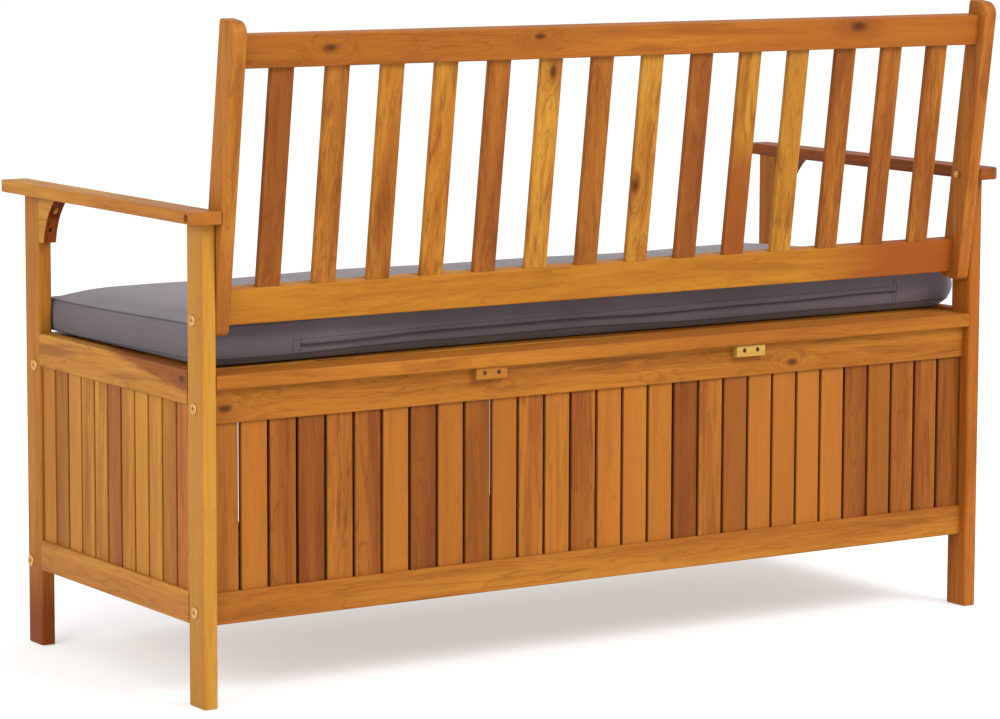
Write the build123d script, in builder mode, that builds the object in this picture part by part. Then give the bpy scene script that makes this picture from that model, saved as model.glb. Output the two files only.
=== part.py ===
"""Garden storage bench: slatted hardwood box, leaning slatted back, arms, hinged lid and a loose cushion.

Millimetres, +Z up, origin on the ground under the middle of the leg frame. The seat faces -Y, the back is
at +Y, and "right" is the +X end. Every board is a separate solid with softened edges.
"""

from build123d import *
from math import cos, radians, sin
import os

# ---- driving dimensions --------------------------------------------------------------------------
half_width = 685.0  # outer faces of the legs
half_depth = 273.0  # front and rear faces of the legs
board = 22.0  # thickness of legs, rails and back posts
leg_depth = 45.0
leg_height = 670.0
leg_round = 4.0
edge_round = 2.0  # softened edges of rails and boards

seat_top = 461.0  # upper face of the fixed rear seat board
seat_board_thick = 20.0
seat_board_width = 60.0

side_top_rail_z = (418.0, 466.0)
side_bottom_rail_z = (114.0, 159.0)
rear_top_rail_z = (392.5, 441.0)
rear_bottom_rail_z = (113.0, 158.0)
front_top_rail_z = (394.0, 441.0)
front_bottom_rail_z = (101.0, 146.0)
rear_rail_face = 258.5  # rear faces of both rear rails
front_top_rail_face = -255.0
front_bottom_rail_face = -273.0

panel_thick = 7.0
groove_depth = 10.0
rear_panel_face = 253.5
front_panel_face = -251.0
side_panel_face = 680.0
long_panel_count = 29
side_panel_count = 11
panel_gap = 5.0
lath_round = 1.2
front_lath_foot = 5.0  # how far the front laths stop above the lower edge of their rail

floor_z = 130.0
floor_thick = 9.0
floor_count = 4
floor_gap = 6.0
bearer = (18.0, 16.0)  # width and height of the bearers under the floor
cross_bearer_x = (-330.0, 330.0)
cross_bearer_width = 30.0
floor_round = 1.0

arm_width = 43.0
arm_thick = 18.0
arm_front = -308.0
arm_rear = 293.0
arm_rear_round = 20.0
arm_corner = 5.0

lean = 7.8  # degrees that the back leans rearward
back_foot_y = 261.0  # rear face of the back posts at seat height
post_depth = 42.0
post_span = (52.5, 486.0)  # along the lean, from seat height
# depth and height of each corner of a post's side view, and its rounding
post_corners = (
    ((0.0, post_span[0]), 9.0),
    ((post_depth, post_span[0]), 5.0),
    ((0.0, post_span[1]), 19.0),
    ((post_depth, post_span[1]), 5.0),
)
top_rail_span = (420.5, 466.0)
top_rail_setback = 13.0
low_rail_span = (63.0, 114.0)
low_rail_setback = 19.0
slat_count = 14
slat_width = 37.0
slat_thick = 9.0
slat_setback = 21.0
slat_tenon = 12.0

lid_gap = 6.5  # between the lid and the seat board, where the hinges are
lid_side_gap = 2.0
lid_thick = 20.0
lid_lift = 0.3  # clearance over the front rail
lid_board_count = 5
lid_board_gap = 5.0
batten_width = 40.0
batten_thick = 20.0
batten_x = (-590.0, -200.0, 200.0, 590.0)
batten_y = (-222.0, 203.0)

hinge_x = (-440.0, 0.0, 440.0)
hinge_length = 60.0
knuckle_radius = 3.0
knuckle_share = 20.0  # length of the middle knuckle
leaf_thick = 1.5
leaf_height = 13.5
knuckle_sink = 2.5  # pin below the seat surface, so that the knuckles stay under the cushion
pin_radius = 1.2
play = 0.3  # clearance between parts that move past each other

bolt_head_radius = 8.5
bolt_head_height = 2.2
bolt_radius = 3.3
bolt_socket = 2.9
barrel_radius = 5.0
barrel_length = 13.0
bolt_length = 62.0
fit = 0.2  # clearance of a fastener in its hole

cushion_half_width = 660.0
cushion_y = (-266.0, 222.0)
cushion_z = (462.0, 534.0)
cushion_corner = 26.0
cushion_edge = 18.0

cleat_x = (215.0, -245.0)
cleat_size = (52.0, 10.5, 17.5)
cleat_pair = 12.0  # each cleat screw's distance from the cleat's middle
# head radius, shank radius and length of each kind of screw
cleat_screw = (3.4, 1.7, 28.0)
batten_screw = (3.5, 1.8, 32.0)
hinge_screw = (2.8, 1.5, 15.0)
hinge_screw_x = (-20.0, 20.0)
leaf_screw_drop = 8.0  # from the knuckle down to the leaf's screws

bracket_top_y = -168.5
bracket_foot_z = 601.0
bracket_foot_y = -211.0
bracket_mid = (-197.5, 639.0)
bracket_screw_y = -190.0
bracket_screw_z = 620.0
arm_bolt_radius = 3.0
arm_recess = (5.5, 9.0)  # radius and depth of the hole that the arm bolt's head sits in
bracket_screw = (3.6, 1.8)  # head and shank radius
bracket_cover = 12.0  # wood of the bracket under each screw's head
arm_screw_depth = 12.0
leg_screw_depth = 17.0
arm_nut = (5.5, 4.5)  # corner radius and thickness
arm_head = (4.8, 4.0)  # radius and height of the arm bolt's head
arm_socket = 2.4
socket_depth = 2.0

dowel_radius = 4.0
dowel_length = 40.0
arm_dowel_depth = 10.0
back_dowel_length = 28.0
side_dowel_z = (122.0, 142.0, 438.0, 456.0)

# ---- values worked out from them -----------------------------------------------------------------
inner_x = half_width - board
leg_y = half_depth - leg_depth / 2
leg_face_y = half_depth - leg_depth
arm_outer = inner_x + arm_width
post_inner = inner_x - board
slope = (sin(radians(lean)), cos(radians(lean)))
seat_bottom = seat_top - seat_board_thick
seat_board_front = half_depth - seat_board_width
lid_rear = seat_board_front - lid_gap
lid_half = inner_x - lid_side_gap
lid_z = seat_bottom + lid_lift
hinge_y = seat_board_front - lid_gap / 2
hinge_z = seat_top - knuckle_sink
leaf_screw_z = hinge_z - knuckle_radius - leaf_screw_drop
rear_bolt_y = rear_rail_face - board / 2
front_top_bolt_y = front_top_rail_face + board / 2
front_bottom_bolt_y = front_bottom_rail_face + board / 2
post_bolt = (244.5, 536.0)
arm_bolt = (267.0, 678.5)
barrel_inset = bolt_length - board - barrel_radius - 2  # from a rail's end to its barrel nut
# height and distance rearward of every bolt through a leg at the right end
bolt_places = (
    post_bolt,
    (rear_bolt_y, 415.0),
    (rear_bolt_y, 132.0),
    (front_top_bolt_y, 418.0),
    (front_bottom_bolt_y, 123.0),
)
ends = {"right": 1, "left": -1}

os.makedirs("parts", exist_ok=True)


def back_point(depth, along):
    """Y and Z of a point of the back: depth forward of the posts' rear face, along its lean."""
    y = back_foot_y + along * slope[0] - depth * slope[1]
    z = seat_top + along * slope[1] + depth * slope[0]
    return y, z


def back_side_plane(x):
    """Plane across the bench: local X is depth forward, local Y runs up the lean, extrusion goes to -X."""
    return Plane(origin=(x, back_foot_y, seat_top), x_dir=(0, -slope[1], slope[0]), z_dir=(-1, 0, 0))


def back_front_plane(depth):
    """Plane of the back's face at a depth: local X is +X, local Y goes up the lean, Z forward."""
    y, z = back_point(depth, 0)
    return Plane(origin=(0, y, z), x_dir=(1, 0, 0), z_dir=(0, -slope[1], slope[0]))


def end_plane(sign, x, y, z):
    """Plane facing out of the bench's end, for fasteners along X."""
    return Plane(origin=(sign * x, y, z), x_dir=(0, 1, 0), z_dir=(sign, 0, 0))


def beam(x, y, z, soften=edge_round):
    """A board between three (low, high) pairs, its longest edges softened."""
    size = (x[1] - x[0], y[1] - y[0], z[1] - z[0])
    longest = (Axis.X, Axis.Y, Axis.Z)[size.index(max(size))]
    with Locations(((x[0] + x[1]) / 2, (y[0] + y[1]) / 2, (z[0] + z[1]) / 2)):
        bar = Box(*size)
    fillet(bar.edges().filter_by(longest), soften)


def cut(x, y, z):
    """Removes a plain block between three (low, high) pairs."""
    with Locations(((x[0] + x[1]) / 2, (y[0] + y[1]) / 2, (z[0] + z[1]) / 2)):
        Box(x[1] - x[0], y[1] - y[0], z[1] - z[0], mode=Mode.SUBTRACT)


def round_bar(plane, radius, length, mode=Mode.ADD):
    """A cylinder from a plane, to its -Z side when the length is negative."""
    with BuildSketch(plane) as disc:
        Circle(radius)
    extrude(disc.sketch, amount=length, mode=mode)


def screw(plane, head_radius, shank_radius, length):
    """A countersunk screw whose head lies flush in the plane, with a cross recess."""
    round_bar(plane, shank_radius, -length)
    with BuildSketch(plane) as head:
        Circle(head_radius)
    extrude(head.sketch, amount=-(head_radius - shank_radius), taper=45)
    with BuildSketch(plane) as recess:
        Rectangle(head_radius * 1.2, head_radius * 0.3)
        Rectangle(head_radius * 0.3, head_radius * 1.2)
    extrude(recess.sketch, amount=-1.0, mode=Mode.SUBTRACT)


def screw_hole(plane, head_radius, shank_radius, length):
    """The hole that a countersunk screw sits in."""
    round_bar(plane, shank_radius + fit, -length - 1, mode=Mode.SUBTRACT)
    with BuildSketch(plane) as sink:
        Circle(head_radius + fit)
    extrude(sink.sketch, amount=-(head_radius - shank_radius), taper=45, mode=Mode.SUBTRACT)


def bolt_holes(sign, places, depth, from_x=half_width):
    """Bolt holes along X from one end's outer face inward."""
    for y, z in places:
        round_bar(end_plane(sign, from_x, y, z), bolt_radius + fit, -depth, mode=Mode.SUBTRACT)


def rail_end_holes(end_x, y, z, nut_faces):
    """Bolt and barrel-nut holes in both ends of a long rail; the nut holes run between two Y values."""
    for sign in ends.values():
        bolt_holes(sign, ((y, z),), bolt_length - board + 4, from_x=end_x)
        nut_place = (sign * (end_x - barrel_inset), nut_faces[0], z)
        nut_plane = Plane(origin=nut_place, x_dir=(1, 0, 0), z_dir=(0, 1, 0))
        round_bar(nut_plane, barrel_radius + fit, nut_faces[1] - nut_faces[0], Mode.SUBTRACT)


def dowel_holes(places):
    """The holes that the dowels sit in."""
    for plane in places:
        round_bar(plane.offset(-dowel_length / 2 - 1), dowel_radius + fit, dowel_length + 2, Mode.SUBTRACT)


def side_dowel_planes(sign):
    """Two dowels at each end of each side rail."""
    x = sign * (half_width - board / 2)
    return [
        Plane(origin=(x, y, z), x_dir=(1, 0, 0), z_dir=(0, 1, 0))
        for y in (-leg_face_y, leg_face_y)
        for z in side_dowel_z
    ]


def back_dowel_planes(sign):
    """Two dowels where the back's top rail meets a post, and one above the bolt of the low rail."""
    spots = [
        (top_rail_setback + board / 2, top_rail_span[0] + 12),
        (top_rail_setback + board / 2, top_rail_span[1] - 12),
        (low_rail_setback + board / 2, low_rail_span[1] - 11),
    ]
    places = [(sign * post_inner, *back_point(*spot)) for spot in spots]
    return [Plane(origin=place, x_dir=(0, 1, 0), z_dir=(1, 0, 0)) for place in places]


# ---- legs ----------------------------------------------------------------------------------------
for side, sign in ends.items():
    centre_x = sign * (half_width - board / 2)
    for name, y, holes in (("rear", leg_y, bolt_places[:3]), ("front", -leg_y, bolt_places[3:])):
        with BuildPart() as leg:
            with BuildSketch(Plane.XY):
                with Locations((centre_x, y)):
                    RectangleRounded(board, leg_depth, leg_round)
            extrude(amount=leg_height)
            chamfer(leg.edges().group_by(Axis.Z)[0], 1.0)
            bolt_holes(sign, holes, board)
            dowel_holes(side_dowel_planes(sign))
            arm_hole = Plane(origin=(centre_x, y, leg_height))
            round_bar(arm_hole, dowel_radius + fit, -dowel_length / 2, mode=Mode.SUBTRACT)
            if name == "front":
                level = Plane(origin=(centre_x, -leg_face_y, bracket_screw_z), z_dir=(0, 1, 0))
                round_bar(level, bracket_screw[1] + fit, -leg_screw_depth - 1, mode=Mode.SUBTRACT)
        leg.part.label = f"{name}_leg_{side}"
        export_step(leg.part, f"parts/{leg.part.label}.step")

# ---- arms and the brackets under them ------------------------------------------------------------
for side, sign in ends.items():
    centre_x = sign * (half_width - board / 2)
    with BuildPart() as arm:
        arm_middle = (sign * (inner_x + arm_width / 2), (arm_front + arm_rear) / 2, leg_height + arm_thick / 2)
        with Locations(arm_middle):
            Box(arm_width, arm_rear - arm_front, arm_thick)
        upright = arm.edges().filter_by(Axis.Z).sort_by(lambda e: e.center().Y + sign * e.center().X)
        fillet(upright[:-1], arm_corner)
        upright = arm.edges().filter_by(Axis.Z).sort_by(lambda e: e.center().Y + sign * e.center().X)
        fillet(upright[-1], arm_rear_round)
        fillet(arm.faces().filter_by(Axis.Z).edges(), edge_round)
        outside = end_plane(sign, arm_outer, *arm_bolt)
        round_bar(outside, arm_bolt_radius + fit, -arm_width, mode=Mode.SUBTRACT)
        round_bar(outside, arm_recess[0], -arm_recess[1], mode=Mode.SUBTRACT)
        for y in (-leg_y, leg_y):
            dowel_foot = Plane(origin=(centre_x, y, leg_height))
            round_bar(dowel_foot, dowel_radius + fit, arm_dowel_depth + 1, Mode.SUBTRACT)
        above = Plane(origin=(centre_x, bracket_screw_y, leg_height))
        round_bar(above, bracket_screw[1] + fit, arm_screw_depth + 1, mode=Mode.SUBTRACT)
    arm.part.label = f"arm_{side}"
    export_step(arm.part, f"parts/{arm.part.label}.step")

    with BuildPart() as bracket:
        face_x = half_width - 1 if sign > 0 else -inner_x - 1
        with BuildSketch(Plane(origin=(face_x, 0, 0), x_dir=(0, 1, 0), z_dir=(1, 0, 0))):
            with BuildLine():
                Polyline(
                    (bracket_foot_y, bracket_foot_z),
                    (-leg_face_y, bracket_foot_z),
                    (-leg_face_y, leg_height),
                    (bracket_top_y, leg_height),
                )
                ThreePointArc((bracket_top_y, leg_height), bracket_mid, (bracket_foot_y, bracket_foot_z))
            make_face()
        extrude(amount=-(board - 2))
        below = Plane(origin=(centre_x, bracket_screw_y, leg_height - bracket_cover), z_dir=(0, 0, -1))
        level = Plane(origin=(centre_x, -leg_face_y + bracket_cover, bracket_screw_z), z_dir=(0, 1, 0))
        for head_plane in (below, level):
            screw_hole(head_plane, *bracket_screw, bracket_cover)
            round_bar(head_plane, bracket_screw[0] + fit, board * 2, mode=Mode.SUBTRACT)
    bracket.part.label = f"arm_bracket_{side}"
    export_step(bracket.part, f"parts/{bracket.part.label}.step")

with BuildPart() as bracket_screws:
    for sign in ends.values():
        centre_x = sign * (half_width - board / 2)
        below = Plane(origin=(centre_x, bracket_screw_y, leg_height - bracket_cover), z_dir=(0, 0, -1))
        screw(below, *bracket_screw, bracket_cover + arm_screw_depth)
        level = Plane(origin=(centre_x, -leg_face_y + bracket_cover, bracket_screw_z), z_dir=(0, 1, 0))
        screw(level, *bracket_screw, bracket_cover + leg_screw_depth)
bracket_screws.part.label = "bracket_screws"
export_step(bracket_screws.part, "parts/bracket_screws.step")

# ---- back: posts, rails and slats ----------------------------------------------------------------
for side, sign in ends.items():
    with BuildPart() as post:
        start_x = inner_x if sign > 0 else -post_inner
        with BuildSketch(back_side_plane(start_x)) as profile:
            with Locations((post_depth / 2, sum(post_span) / 2)):
                Rectangle(post_depth, post_span[1] - post_span[0])
            for corner, radius in post_corners:
                fillet(profile.vertices().sort_by_distance((*corner, 0))[0], radius)
        extrude(amount=board)
        fillet(post.faces().filter_by(Axis.X).edges(), 2.5)
        through = board + 2
        bolt_holes(sign, (post_bolt,), through, from_x=inner_x + 1)
        round_bar(end_plane(sign, inner_x + 1, *arm_bolt), arm_bolt_radius + fit, -through, mode=Mode.SUBTRACT)
        for plane in back_dowel_planes(sign):
            start = plane.offset(-back_dowel_length / 2 - 1)
            round_bar(start, dowel_radius + fit, back_dowel_length + 2, mode=Mode.SUBTRACT)
    post.part.label = f"back_post_{side}"
    export_step(post.part, f"parts/{post.part.label}.step")

slat_gap = (2 * post_inner - slat_count * slat_width) / (slat_count + 1)
slat_pitch = slat_width + slat_gap
slat_places = [post_inner - slat_gap - slat_width / 2 - i * slat_pitch for i in range(slat_count)]
slat_span = (low_rail_span[1] - slat_tenon, top_rail_span[0] + slat_tenon)

for name, span, setback in (
    ("back_top_rail", top_rail_span, top_rail_setback),
    ("back_low_rail", low_rail_span, low_rail_setback),
):
    with BuildPart() as back_rail:
        with BuildSketch(back_front_plane(setback)):
            with Locations((0, sum(span) / 2)):
                Rectangle(2 * post_inner, span[1] - span[0])
        extrude(amount=board)
        fillet(back_rail.edges().filter_by(Axis.X), edge_round)
        with BuildSketch(back_front_plane(slat_setback)):
            with Locations([(x, sum(slat_span) / 2) for x in slat_places]):
                Rectangle(slat_width, slat_span[1] - slat_span[0])
        extrude(amount=slat_thick, mode=Mode.SUBTRACT)
        for sign in ends.values():
            for plane in back_dowel_planes(sign):
                start = plane.offset(-back_dowel_length / 2 - 1)
                round_bar(start, dowel_radius + fit, back_dowel_length + 2, mode=Mode.SUBTRACT)
        if name == "back_low_rail":
            rail_end_holes(post_inner, *post_bolt, (post_bolt[0] - 30, post_bolt[0] + barrel_length / 2 - 2))
    back_rail.part.label = name
    export_step(back_rail.part, f"parts/{name}.step")

for number, x in enumerate(slat_places, start=1):
    with BuildPart() as slat:
        with BuildSketch(back_front_plane(slat_setback)):
            with Locations((x, sum(slat_span) / 2)):
                Rectangle(slat_width, slat_span[1] - slat_span[0])
        extrude(amount=slat_thick)
        uprights = slat.edges().filter_by(lambda e: e.length > 200)
        fillet(uprights, edge_round)
    slat.part.label = f"back_slat_{number:02d}"
    export_step(slat.part, f"parts/{slat.part.label}.step")


cleat_screw_z = seat_bottom - cleat_size[2] / 2 + 1.0
cleat_planes = [
    Plane(origin=(x + dx, rear_rail_face + cleat_size[1], cleat_screw_z), z_dir=(0, 1, 0))
    for x in cleat_x
    for dx in (-cleat_pair, cleat_pair)
]

# ---- long rails of the box -----------------------------------------------------------------------
long_rails = (
    ("rear_top_rail", rear_rail_face - board, rear_top_rail_z, bolt_places[1]),
    ("rear_bottom_rail", rear_rail_face - board, rear_bottom_rail_z, bolt_places[2]),
    ("front_top_rail", front_top_rail_face, front_top_rail_z, bolt_places[3]),
    ("front_bottom_rail", front_bottom_rail_face, front_bottom_rail_z, bolt_places[4]),
)
rear_groove_y = (rear_panel_face - panel_thick, rear_panel_face)
front_groove_y = (front_panel_face, front_panel_face + panel_thick)
rear_board_z = (rear_bottom_rail_z[1] - groove_depth, rear_top_rail_z[0] + groove_depth)
front_board_z = (front_bottom_rail_z[0] + front_lath_foot, front_top_rail_z[0] + groove_depth)
for name, y_low, z, bolt_place in long_rails:
    with BuildPart() as rail:
        beam((-inner_x, inner_x), (y_low, y_low + board), z)
        if name.startswith("rear"):
            rail_end_holes(inner_x, *bolt_place, (y_low - 1, bolt_place[0] + barrel_length / 2 + fit))
            cut((-inner_x, inner_x), rear_groove_y, rear_board_z)
        else:
            rail_end_holes(inner_x, *bolt_place, (bolt_place[0] - barrel_length / 2 - fit, y_low + board + 1))
        if name == "front_top_rail":
            cut((-inner_x, inner_x), front_groove_y, front_board_z)
        if name == "rear_top_rail":
            for plane in cleat_planes:
                round_bar(plane, cleat_screw[1] + fit, -cleat_screw[2] - 1, mode=Mode.SUBTRACT)
    rail.part.label = name
    export_step(rail.part, f"parts/{name}.step")

panel_pitch = 2 * inner_x / long_panel_count
panel_places = (
    ("rear_panel_boards", rear_groove_y, rear_board_z),
    ("front_panel_boards", front_groove_y, front_board_z),
)
for name, y, z in panel_places:
    with BuildPart() as panel:
        for i in range(long_panel_count):
            centre = inner_x - panel_pitch * (i + 0.5)
            half = (panel_pitch - panel_gap) / 2
            beam((centre - half, centre + half), y, z, lath_round)
    panel.part.label = name
    export_step(panel.part, f"parts/{name}.step")

# ---- end frames of the box -----------------------------------------------------------------------
side_board_z = (side_bottom_rail_z[1] - groove_depth, side_top_rail_z[0] + groove_depth)
side_pitch = 2 * leg_face_y / side_panel_count
for side, sign in ends.items():
    x = sorted((sign * inner_x, sign * half_width))
    groove_x = sorted((sign * (side_panel_face - panel_thick), sign * side_panel_face))
    for name, z in (("side_top_rail", side_top_rail_z), ("side_bottom_rail", side_bottom_rail_z)):
        with BuildPart() as side_rail:
            beam(x, (-leg_face_y, leg_face_y), z)
            cut(groove_x, (-leg_face_y, leg_face_y), side_board_z)
            dowel_holes(side_dowel_planes(sign))
        side_rail.part.label = f"{name}_{side}"
        export_step(side_rail.part, f"parts/{side_rail.part.label}.step")
    with BuildPart() as side_panel:
        for i in range(side_panel_count):
            centre = -leg_face_y + side_pitch * (i + 0.5)
            half = (side_pitch - panel_gap) / 2
            beam(groove_x, (centre - half, centre + half), side_board_z, lath_round)
    side_panel.part.label = f"side_panel_boards_{side}"
    export_step(side_panel.part, f"parts/{side_panel.part.label}.step")

with BuildPart() as dowels:
    for sign in ends.values():
        for plane in side_dowel_planes(sign):
            round_bar(plane.offset(-dowel_length / 2), dowel_radius, dowel_length)
        for plane in back_dowel_planes(sign):
            round_bar(plane.offset(-back_dowel_length / 2), dowel_radius, back_dowel_length)
        for y in (-leg_y, leg_y):
            low = leg_height - dowel_length / 2 + 1
            foot = Plane(origin=(sign * (half_width - board / 2), y, low))
            round_bar(foot, dowel_radius, leg_height + arm_dowel_depth - low)
dowels.part.label = "dowels"
export_step(dowels.part, "parts/dowels.step")

# ---- floor ---------------------------------------------------------------------------------------
floor_y = (front_groove_y[1] + 1, rear_rail_face - board - 1)
bearer_z = (floor_z - bearer[1], floor_z)
front_bearer_y = (front_groove_y[1], front_groove_y[1] + bearer[0])
rear_bearer_y = (rear_rail_face - board - bearer[0], rear_rail_face - board)
with BuildPart() as floor_bearers:
    for y in (front_bearer_y, rear_bearer_y):
        beam((-lid_half, lid_half), y, bearer_z, floor_round)
    for x in cross_bearer_x:
        across = (x - cross_bearer_width / 2, x + cross_bearer_width / 2)
        beam(across, (front_bearer_y[1] + fit / 2, rear_bearer_y[0] - fit / 2), bearer_z, floor_round)
floor_bearers.part.label = "floor_bearers"
export_step(floor_bearers.part, "parts/floor_bearers.step")

floor_width = (floor_y[1] - floor_y[0] - (floor_count - 1) * floor_gap) / floor_count
with BuildPart() as floor_boards:
    for i in range(floor_count):
        near = floor_y[0] + i * (floor_width + floor_gap)
        beam((-lid_half, lid_half), (near, near + floor_width), (floor_z, floor_z + floor_thick), floor_round)
floor_boards.part.label = "floor_boards"
export_step(floor_boards.part, "parts/floor_boards.step")

# ---- fixed seat board and the two cleats under its rear overhang ---------------------------------
with BuildPart() as seat_board:
    beam((-inner_x, inner_x), (seat_board_front, half_depth), (seat_bottom, seat_top))
    for x in hinge_x:
        for offset_x in hinge_screw_x:
            face = Plane(origin=(x + offset_x, seat_board_front, leaf_screw_z), z_dir=(0, -1, 0))
            round_bar(face, hinge_screw[1] + fit, -hinge_screw[2], mode=Mode.SUBTRACT)
seat_board.part.label = "rear_seat_board"
export_step(seat_board.part, "parts/rear_seat_board.step")

with BuildPart() as cleats:
    for x in cleat_x:
        beam(
            (x - cleat_size[0] / 2, x + cleat_size[0] / 2),
            (rear_rail_face, rear_rail_face + cleat_size[1]),
            (seat_bottom - cleat_size[2], seat_bottom),
            1.5,
        )
    for plane in cleat_planes:
        screw_hole(plane, *cleat_screw)
cleats.part.label = "seat_board_cleats"
export_step(cleats.part, "parts/seat_board_cleats.step")

with BuildPart() as cleat_screws:
    for plane in cleat_planes:
        screw(plane, *cleat_screw)
cleat_screws.part.label = "cleat_screws"
export_step(cleat_screws.part, "parts/cleat_screws.step")

# ---- lid -----------------------------------------------------------------------------------------
lid_depth = lid_rear + half_depth
lid_board_width = (lid_depth - (lid_board_count - 1) * lid_board_gap) / lid_board_count
lid_board_y = [-half_depth + i * (lid_board_width + lid_board_gap) for i in range(lid_board_count)]
batten_screw_y = [y + lid_board_width / 2 for y in lid_board_y]
batten_screw_y[0] += 8  # clear of the front end of the battens
batten_screw_y[-1] -= 8
batten_screw_planes = [
    Plane(origin=(x, y, lid_z - batten_thick), z_dir=(0, 0, -1))
    for x in batten_x
    for y in batten_screw_y
]
with BuildPart() as lid_boards:
    for y in lid_board_y:
        beam((-lid_half, lid_half), (y, y + lid_board_width), (lid_z, lid_z + lid_thick))
    for x in hinge_x:
        for offset_x in hinge_screw_x:
            face = Plane(origin=(x + offset_x, lid_rear, leaf_screw_z), z_dir=(0, 1, 0))
            round_bar(face, hinge_screw[1] + fit, -hinge_screw[2], mode=Mode.SUBTRACT)
    for plane in batten_screw_planes:
        round_bar(plane, batten_screw[1] + fit, -batten_screw[2] - 1, mode=Mode.SUBTRACT)
lid_boards.part.label = "lid_boards"
export_step(lid_boards.part, "parts/lid_boards.step")

with BuildPart() as lid_battens:
    for x in batten_x:
        beam((x - batten_width / 2, x + batten_width / 2), batten_y, (lid_z - batten_thick, lid_z))
    for plane in batten_screw_planes:
        screw_hole(plane, *batten_screw)
lid_battens.part.label = "lid_battens"
export_step(lid_battens.part, "parts/lid_battens.step")

with BuildPart() as batten_screws:
    for plane in batten_screw_planes:
        screw(plane, *batten_screw)
batten_screws.part.label = "batten_screws"
export_step(batten_screws.part, "parts/batten_screws.step")

# ---- hinges --------------------------------------------------------------------------------------
leaf_top = hinge_z - knuckle_radius - play


def hinge_leaf(x, toward_back):
    """One leaf against the edge of its board, with its knuckles round the pin."""
    face_y = seat_board_front if toward_back else lid_rear
    leaf_y = (face_y - leaf_thick, face_y) if toward_back else (face_y, face_y + leaf_thick)
    with Locations((x, sum(leaf_y) / 2, leaf_top - leaf_height / 2)):
        Box(hinge_length, leaf_thick, leaf_height)
    if toward_back:
        spans = ((-hinge_length / 2, -knuckle_share / 2 - play), (knuckle_share / 2 + play, hinge_length / 2))
    else:
        spans = ((-knuckle_share / 2, knuckle_share / 2),)
    for low, high in spans:
        middle = x + (low + high) / 2
        with Locations((middle, sum(leaf_y) / 2, (leaf_top + hinge_z) / 2)):
            Box(high - low, leaf_thick, hinge_z - leaf_top)
        with Locations((middle, hinge_y, hinge_z)):
            Cylinder(knuckle_radius, high - low, rotation=(0, 90, 0))
    bore = pin_radius if toward_back else pin_radius + play
    with Locations((x, hinge_y, hinge_z)):
        Cylinder(bore, hinge_length + 2, rotation=(0, 90, 0), mode=Mode.SUBTRACT)
    for offset_x in hinge_screw_x:
        inward = -1 if toward_back else 1
        head_y = face_y + inward * leaf_thick
        screw_hole(Plane(origin=(x + offset_x, head_y, leaf_screw_z), z_dir=(0, inward, 0)), *hinge_screw)


with BuildPart() as seat_leaves:
    for x in hinge_x:
        hinge_leaf(x, toward_back=True)
seat_leaves.part.label = "hinge_leaves_seat"
export_step(seat_leaves.part, "parts/hinge_leaves_seat.step")

with BuildPart() as lid_leaves:
    for x in hinge_x:
        hinge_leaf(x, toward_back=False)
lid_leaves.part.label = "hinge_leaves_lid"
export_step(lid_leaves.part, "parts/hinge_leaves_lid.step")

with BuildPart() as hinge_pins:
    for x in hinge_x:
        with Locations((x, hinge_y, hinge_z)):
            Cylinder(pin_radius, hinge_length, rotation=(0, 90, 0))
hinge_pins.part.label = "hinge_pins"
export_step(hinge_pins.part, "parts/hinge_pins.step")

for name, inward in (("hinge_screws_seat", -1), ("hinge_screws_lid", 1)):
    with BuildPart() as hinge_screws:
        face_y = seat_board_front if inward < 0 else lid_rear
        for x in hinge_x:
            for offset_x in hinge_screw_x:
                head_y = face_y + inward * leaf_thick
                plane = Plane(origin=(x + offset_x, head_y, leaf_screw_z), z_dir=(0, inward, 0))
                screw(plane, *hinge_screw)
    hinge_screws.part.label = name
    export_step(hinge_screws.part, f"parts/{name}.step")

# ---- bolts and nuts ------------------------------------------------------------------------------
with BuildPart() as frame_bolts:
    for sign in ends.values():
        for y, z in bolt_places:
            at_post = (y, z) == post_bolt
            plane = end_plane(sign, half_width, y, z)
            round_bar(plane, bolt_head_radius, bolt_head_height)
            round_bar(plane, bolt_radius, -(bolt_length + board if at_post else bolt_length))
            with BuildSketch(plane.offset(bolt_head_height)):
                RegularPolygon(bolt_socket, 6)
            extrude(amount=-socket_depth, mode=Mode.SUBTRACT)
    rims = frame_bolts.edges().filter_by(GeomType.CIRCLE)
    rims = rims.filter_by(lambda e: abs(e.radius - bolt_head_radius) < 0.01)
    rims = rims.filter_by(lambda e: abs(e.center().X) > half_width + 1)
    fillet(rims, 1.4)
frame_bolts.part.label = "frame_bolts"
export_step(frame_bolts.part, "parts/frame_bolts.step")

with BuildPart() as barrel_nuts:
    for sign in ends.values():
        for y, z in bolt_places:
            at_post = (y, z) == post_bolt
            x = (post_inner if at_post else inner_x) - barrel_inset
            start_y = y - barrel_length / 2 - (2 if at_post else 0)
            nut_start = Plane(origin=(sign * x, start_y, z), x_dir=(1, 0, 0), z_dir=(0, 1, 0))
            round_bar(nut_start, barrel_radius, barrel_length)
            round_bar(end_plane(sign, inner_x, y, z), bolt_radius, -bolt_length, mode=Mode.SUBTRACT)
barrel_nuts.part.label = "barrel_nuts"
export_step(barrel_nuts.part, "parts/barrel_nuts.step")

with BuildPart() as arm_bolts:
    for sign in ends.values():
        head_plane = end_plane(sign, arm_outer - arm_recess[1], *arm_bolt)
        round_bar(head_plane, arm_head[0], arm_head[1])
        round_bar(head_plane, arm_bolt_radius, -(arm_outer - arm_recess[1] - post_inner + arm_nut[1] + 1.5))
        with BuildSketch(head_plane.offset(arm_head[1])):
            RegularPolygon(arm_socket, 6)
        extrude(amount=-socket_depth, mode=Mode.SUBTRACT)
arm_bolts.part.label = "arm_bolts"
export_step(arm_bolts.part, "parts/arm_bolts.step")

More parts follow.
